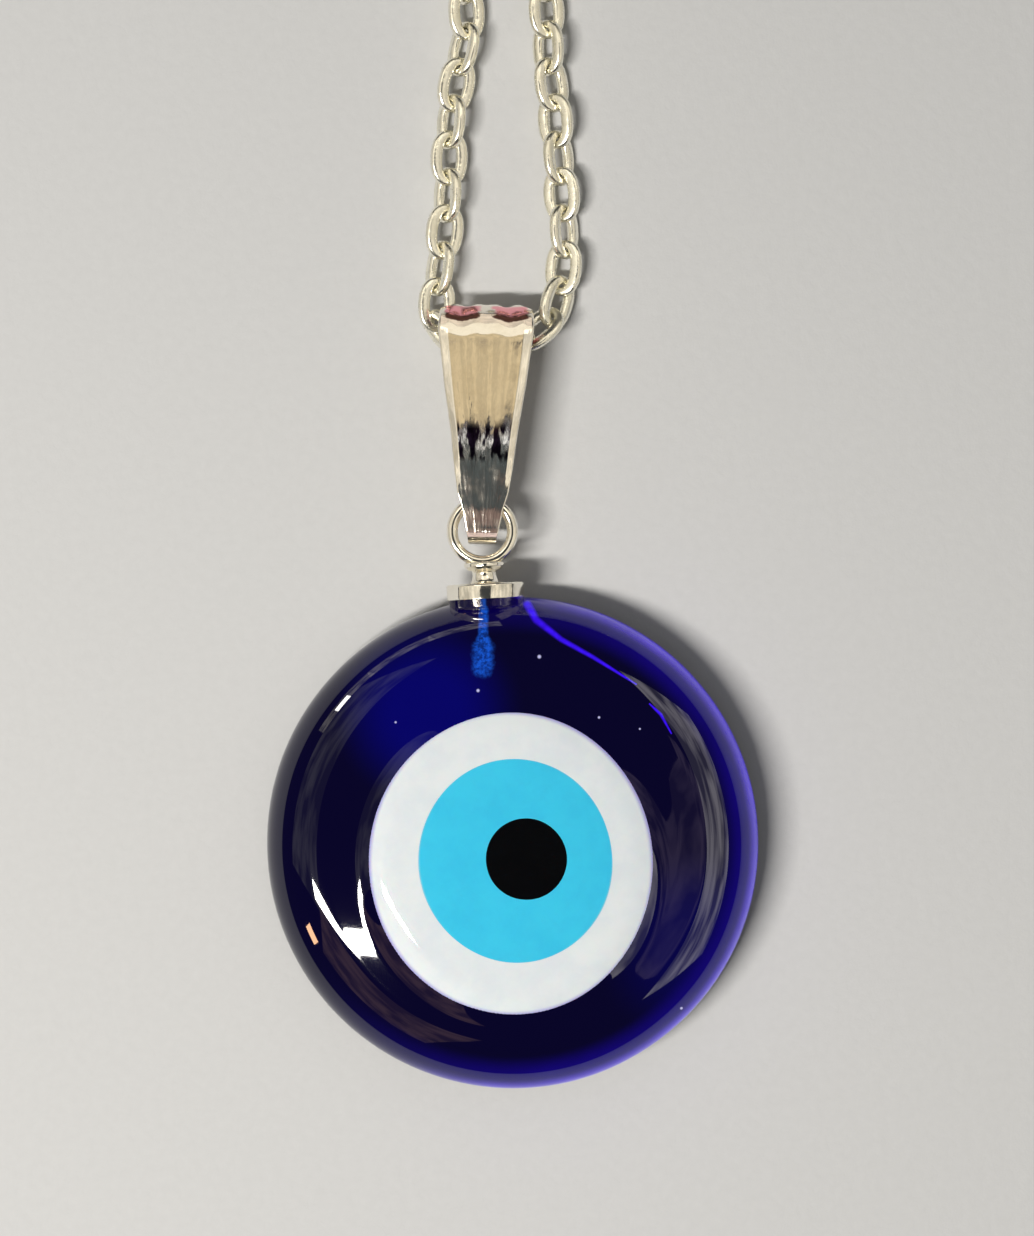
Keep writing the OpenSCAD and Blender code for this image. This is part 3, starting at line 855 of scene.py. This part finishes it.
# %% Press the relief of the strip
PANEL_FLUTES, FLUTE_RISE = 0.2, (0.1, 0.5)
LOBE_FALL, LOBE_RISE = 0.128, (0.85, 0.97)
PANEL_STEP, PANEL_RISE, PANEL_TOP, PANEL_EDGE, SCALLOP = 0.03, (0.1, 0.3), 0.876, 0.022, 0.012
RIBS, RIB_H, RIBS_END = [(-0.42, 0.05), (0.08, 0.04), (0.24, 0.04)], 0.006, (0.8, 0.88)
BEVEL_FROM, BEVEL_RISE, BEVEL_FADE = 0.8, (0.2, 0.4), 0.6
HEEL, HEEL_RISE, PANEL_LEAN, LEAN_RISE = 0.1, (0, 0.15), 0.02, (0.72, 0.88)


def relief_at(u, f, front):
    """Height of the strip's relief: two flutes, bent edges, a framed panel, fine ribs."""
    flute = (2 * math.cos(4 * math.pi * u) - 3 * math.cos(2 * math.pi * u)) / 5
    bevel = rise(abs(u), BEVEL_FROM, 1)
    depth = FLUTE_H * PANEL_FLUTES * rise(f, *FLUTE_RISE) - LOBE_FALL * ease(f, *LOBE_RISE)
    panel_end = PANEL_TOP - SCALLOP * flute
    panel = PANEL_STEP * rise(f, *PANEL_RISE) * (1 - ease(f, panel_end, panel_end + PANEL_EDGE))
    ribs = sum(RIB_H * math.exp(-((u - at) / wide) ** 2) for at, wide in RIBS)
    return ((depth * flute + panel + ribs * (1 - ease(f, *RIBS_END))) * (1 - bevel)
            - BEVEL_H * bevel * rise(f, *BEVEL_RISE) * (1 - BEVEL_FADE * f ** 3)
            + (HEEL * ease(f, *HEEL_RISE) - PANEL_LEAN * ease(f, *LEAN_RISE)) * front)


# Points across one face of the sheet, then round its edges and back on the other.
across = np.concatenate([np.linspace(-0.985, -0.8, 6), np.linspace(-0.78, 0.78, 48),
                         np.linspace(0.8, 0.985, 6)])
strip = [(u, SHEET / 2) for u in across] + [(1.0, SHEET / 4), (1.0, -SHEET / 4)]
strip += [(u, -SHEET / 2) for u in across[::-1]] + [(-1.0, -SHEET / 4), (-1.0, SHEET / 4)]

# %% Hang the bail in the ring
BAIL_SLACK, REST_GAP = 1.9, 0.04
BAIL_TURN = math.radians(7.3)
ring_x, ring_y = ring_middle[0], ring_middle[1]
fold_y = RING_R - RING_WIRE / 2 - BAIL_SLACK + fold_mid - SHEET / 2
wire_y = RING_R - fold_y
leaf_inner = (fold_mid + (roll_mid - fold_mid) * wire_y / span) / math.cos(lean) - SHEET / 2
roll_z = ROLL_R + FLUTE_H + REST_GAP
wire_top = PEG_Z + RING_WIRE / 2 + REST_GAP
fold_z = (wire_top - leaf_inner - roll_z * wire_y / span) / (1 - wire_y / span)
tilt = math.asin((fold_z - roll_z) / span)
print("bail tilted by", round(math.degrees(tilt), 2), "degrees")


def in_place(x, y, z):
    """A point of the bail, tilted, turned and moved to its place."""
    y, z = (y * math.cos(tilt) + z * math.sin(tilt), -y * math.sin(tilt) + z * math.cos(tilt))
    y += fold_y
    x, y = (x * math.cos(BAIL_TURN) + y * math.sin(BAIL_TURN),
            -x * math.sin(BAIL_TURN) + y * math.cos(BAIL_TURN))
    return x + ring_x, y + ring_y, z + fold_z


bail_rows = []
for y, z, out_y, out_z, cut in stations:
    f = rise((y + fold_mid) / (BAIL_LEN - SHEET), 0, 1)
    width = BAIL_W * float(np.interp(f, *WIDTHS)) * (1 - BACK_CUT * cut)
    row = []
    for u, h in strip:
        off = h + relief_at(u, f, 1 - cut)
        row.append(in_place(u * width / 2, y + out_y * off, z + out_z * off))
    bail_rows.append(row)

# %% Plate the bail and paint reflections on its lobes and waist
STREAK_POLE, STREAK_FINE, STREAK_LONG = 6.0, 18, 0.4
# Painted reflections on the bail: pink and brown on the lobes of the roll, violet black in
# streaks at the waist.
PINK_REFLECTION, BROWN_REFLECTION, VIOLET_BLACK = (0.95, 0.40, 0.45), (0.10, 0.05, 0.04), (0.022, 0.012, 0.026)
LOBE_AT, LOBE_HALF, LOBE_FROM, LOBE_TO = 1.5, 1.2, 12.62, 13.72
LOBE_RAGGED, LOBE_ARCH, PINK_FROM_TO = 0.9, 0.3, (0.32, 0.5)
TOP_SIDE = (1.6, 2.4)
WAIST_FROM, WAIST_TO, WAIST_IN, WAIST_OUT = 4.0, 6.9, 0.5, 0.8
PANEL_WIDENS, PANEL_SIDE = 0.1, (0.98, 1.04)


def along_strip(metal, spot):
    """Place across and along the strip, from the middle of the ring."""
    x, y = metal.split(spot)[:2]
    x, y = x - ring_x, y - ring_y
    c, s = math.cos(BAIL_TURN), math.sin(BAIL_TURN)
    return x * c - y * s, x * s + y * c


def rolled_streaks(metal, spot):
    """Streaks that run up the strip and draw together with its sides."""
    across, along = along_strip(metal, spot)
    streaks = metal.joined(across / (along + STREAK_POLE) * STREAK_FINE, along * STREAK_LONG)
    return metal.noise(streaks, 1.0, detail=3.0, roughness=0.55)


def paint_bail_reflections(metal, spot, tone):
    """Painted reflections: pink and brown on the two lobes of the roll, and dark streaks at the
    waist.
    """
    across, along = along_strip(metal, spot)
    aside = length(across, 0)
    ragged = metal.noise(spot, 1.5, detail=3.0, roughness=0.6) - 0.5
    off = length(aside - LOBE_AT, 0) / LOBE_HALF + ragged * LOBE_RAGGED
    above = along - (off * off * LOBE_ARCH + LOBE_FROM) + ragged * 0.5
    lobe = above.ramp(0, 0.08) * (1 - along.ramp(LOBE_TO - 0.1, LOBE_TO)) * (1 - off.ramp(0.8, 1))
    lobe = lobe * metal.split(spot)[2].ramp(*TOP_SIDE)
    # Painted reflection on each lobe: pink above, brown below.
    tone = metal.colour(lobe, tone, metal.colour(above.ramp(*PINK_FROM_TO), BROWN_REFLECTION, PINK_REFLECTION))
    # Painted reflection: violet black streaks across the panel at the waist.
    waist = (along.ramp(WAIST_FROM, WAIST_FROM + WAIST_IN)
             * (1 - along.ramp(WAIST_TO - WAIST_OUT, WAIST_TO)))
    panel = 1 - (aside - along * PANEL_WIDENS).ramp(*PANEL_SIDE)
    streaks = metal.noise(metal.joined(across * 1.7, along * 0.45), 1.0, roughness=0.6)
    return metal.colour(waist * panel * streaks.ramp(0.47, 0.53), tone, VIOLET_BLACK)


bail_plating = plating("bail_plating", colour=(0.94, 0.89, 0.79),
                       dull_colour=(0.88, 0.82, 0.70), gloss=0.06, dull=0.12,
                       relief=rolled_streaks, depth=0.026, painted_reflections=paint_bail_reflections)
bail = make_piece("pinched_bail", [mesh_of_rows(bail_rows, looped=True)], bail_plating,
                  "fittings", ["pinch_bail"])
lit_groups["bail"].objects.link(bail)

# %% [markdown]
# ## Chain
#
# Each link of a cable chain is bent from round wire, and rolling the finished
# chain flattens its sides, so the wire is wider along the sides than at the
# ends. The CAD links are rings of plain round wire in the right places. Each
# one is found again as a loose part of its node: its middle, its long axis and
# the direction it faces give the place of a link with the flattened sides.

# %% Find the links of the CAD chain
WELD = 2e-7


def loose_links(node):
    """Middle, long axis, width and facing of every loose part of a CAD node, in mm."""
    work = bmesh.new()
    work.from_mesh(node.data)
    bmesh.ops.remove_doubles(work, verts=work.verts, dist=WELD)
    seen, found = set(), []
    for start in work.verts:
        if start in seen:
            continue
        seen.add(start)
        part, waiting = [start], [start]
        while waiting:
            for e in waiting.pop().link_edges:
                for v in e.verts:
                    if v not in seen:
                        seen.add(v)
                        part.append(v)
                        waiting.append(v)
        points = np.array([v.co for v in part]) / MM
        middle = (points.min(0) + points.max(0)) / 2
        spread = np.linalg.svd(points - points.mean(0), full_matrices=False)[2]
        found.append((middle, *spread))
    work.free()
    return found


chain_links = {name: loose_links(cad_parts[name]) for name in ("chain_left", "chain_right")}
print({name: len(found) for name, found in chain_links.items()}, "links")

# %% Bend the links
LINK_HALF, LINK_HALF_W = 1.73, 1.19
END_WIRE, SIDE_WIRE, LINK_THICK = 0.54, 0.72, 0.56
OVAL_POWER, HOLE_POWER, WIRE_POWER = 2.35, 2.2, 2.8
LINK_STEPS, WIRE_STEPS = 40, 16


def oval_point(turn, half, half_w, power):
    """A point of an oval; a power over 2 makes it squarer than an ellipse."""
    c, s = math.cos(turn), math.sin(turn)
    return (math.copysign(abs(c) ** (2 / power), c) * half,
            math.copysign(abs(s) ** (2 / power), s) * half_w)


def link_rows():
    """Rows of a link that lies flat about its own middle, long way along x."""
    rows = []
    for i in range(LINK_STEPS):
        turn = 2 * math.pi * (i + 0.5) / LINK_STEPS
        outer = oval_point(turn, LINK_HALF, LINK_HALF_W, OVAL_POWER)
        inner = oval_point(turn, LINK_HALF - END_WIRE, LINK_HALF_W - SIDE_WIRE, HOLE_POWER)
        row = []
        for j in range(WIRE_STEPS):
            share, height = oval_point(2 * math.pi * (j + 0.5) / WIRE_STEPS,
                                       0.5, LINK_THICK / 2, WIRE_POWER)
            row.append((inner[0] + (outer[0] - inner[0]) * (share + 0.5),
                        inner[1] + (outer[1] - inner[1]) * (share + 0.5), height))
        rows.append(row)
    return np.array(rows)


plain_link = link_rows()
for name, found in chain_links.items():
    solids = []
    for middle, along, wide, facing in found:
        if np.dot(np.cross(along, wide), facing) < 0:
            facing = -facing
        placed = (middle + plain_link[..., :1] * along + plain_link[..., 1:2] * wide
                  + plain_link[..., 2:] * facing)
        solids.append(mesh_of_rows(placed, looped=True))
    make_piece(name + "_links", solids, chain_plating, "chain", [name])

# %% [markdown]
# ## Clasp
#
# The clasp is out of the photo's sight. Its plain ring of the CAD model is
# smooth enough to stay, and gets the same plating as the bails.

# %% Plate the clasp
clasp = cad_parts["clasp"]
clasp.data.materials.clear()
clasp.data.materials.append(fitting_plating)
lit_groups["metal"].objects.link(clasp)

# %% [markdown]
# ## The last line
# #. The visual model has to stay inside the box of the CAD model.
# # The view layer is brought up to date before the script ends.

# %% Finish
bpy.context.view_layer.update()
